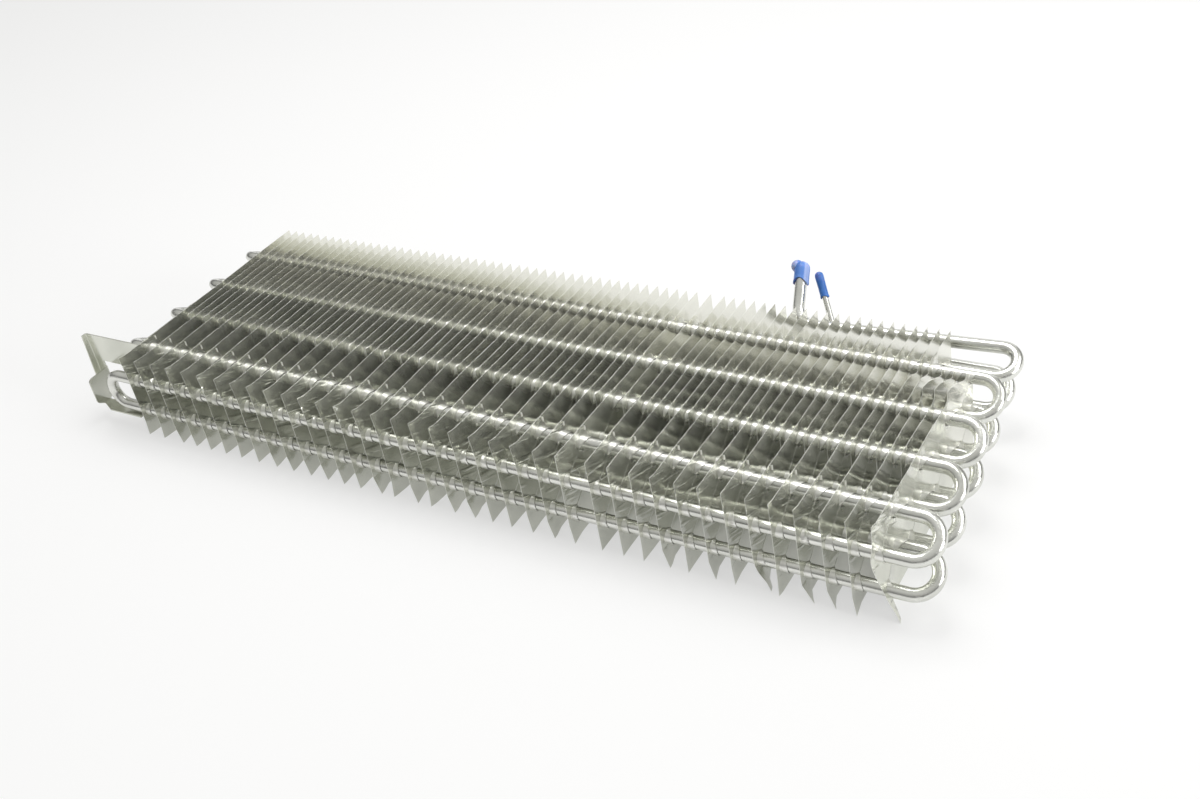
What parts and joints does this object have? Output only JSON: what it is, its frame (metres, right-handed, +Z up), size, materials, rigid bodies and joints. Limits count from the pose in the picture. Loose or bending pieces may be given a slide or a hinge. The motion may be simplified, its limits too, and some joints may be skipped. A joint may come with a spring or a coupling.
{
  "type": "refrigerator evaporator",
  "caption": "Fin-and-tube evaporator coil of a frost-free refrigerator: one serpentine tube in two rows of hairpins through thin stamped fins, with a folded end bracket and two capped stubs.",
  "frame": {"origin": "middle of the base of the box round the whole part, level with the lower fin edges", "axes": "+X along the tubes towards the hairpin bends, +Y from the front fin edges to the back where the stubs rise, +Z up"},
  "size_m": [0.6436, 0.2328, 0.0747],
  "materials": {
    "tube": "drawn, bright satin",
    "fin_sheet": "rolled sheet, satin with faint grime",
    "bracket_sheet": "rolled sheet, satin",
    "large_cap": "soft blue plastic, half gloss",
    "small_cap": "soft blue plastic, half gloss"
  },
  "bodies": {
    "root": {"end_bracket": "bracket_sheet", "inlet_cap": "small_cap", "inlet_tube": "tube", "long_fin_01": "fin_sheet", "long_fin_02": "fin_sheet", "long_fin_03": "fin_sheet", "long_fin_04": "fin_sheet", "long_fin_05": "fin_sheet", "long_fin_06": "fin_sheet", "long_fin_07": "fin_sheet", "long_fin_08": "fin_sheet", "long_fin_09": "fin_sheet", "long_fin_10": "fin_sheet", "long_fin_11": "fin_sheet", "long_fin_12": "fin_sheet", "long_fin_13": "fin_sheet", "long_fin_14": "fin_sheet", "long_fin_15": "fin_sheet", "long_fin_16": "fin_sheet", "long_fin_17": "fin_sheet", "long_fin_18": "fin_sheet", "long_fin_19": "fin_sheet", "long_fin_20": "fin_sheet", "long_fin_21": "fin_sheet", "long_fin_22": "fin_sheet", "long_fin_23": "fin_sheet", "long_fin_24": "fin_sheet", "long_fin_25": "fin_sheet", "long_fin_26": "fin_sheet", "long_fin_27": "fin_sheet", "long_fin_28": "fin_sheet", "long_fin_29": "fin_sheet", "long_fin_30": "fin_sheet", "long_fin_31": "fin_sheet", "long_fin_32": "fin_sheet", "long_fin_33": "fin_sheet", "long_fin_34": "fin_sheet", "long_fin_35": "fin_sheet", "long_fin_36": "fin_sheet", "long_fin_37": "fin_sheet", "long_fin_38": "fin_sheet", "serpentine_tube": "tube", "short_fins_01": "fin_sheet", "short_fins_02": "fin_sheet", "short_fins_03": "fin_sheet", "short_fins_04": "fin_sheet", "short_fins_05": "fin_sheet", "short_fins_06": "fin_sheet", "short_fins_07": "fin_sheet", "short_fins_08": "fin_sheet", "short_fins_09": "fin_sheet", "short_fins_10": "fin_sheet", "short_fins_11": "fin_sheet", "short_fins_12": "fin_sheet", "short_fins_13": "fin_sheet", "suction_cap": "large_cap"}
  },
  "joints": []
}
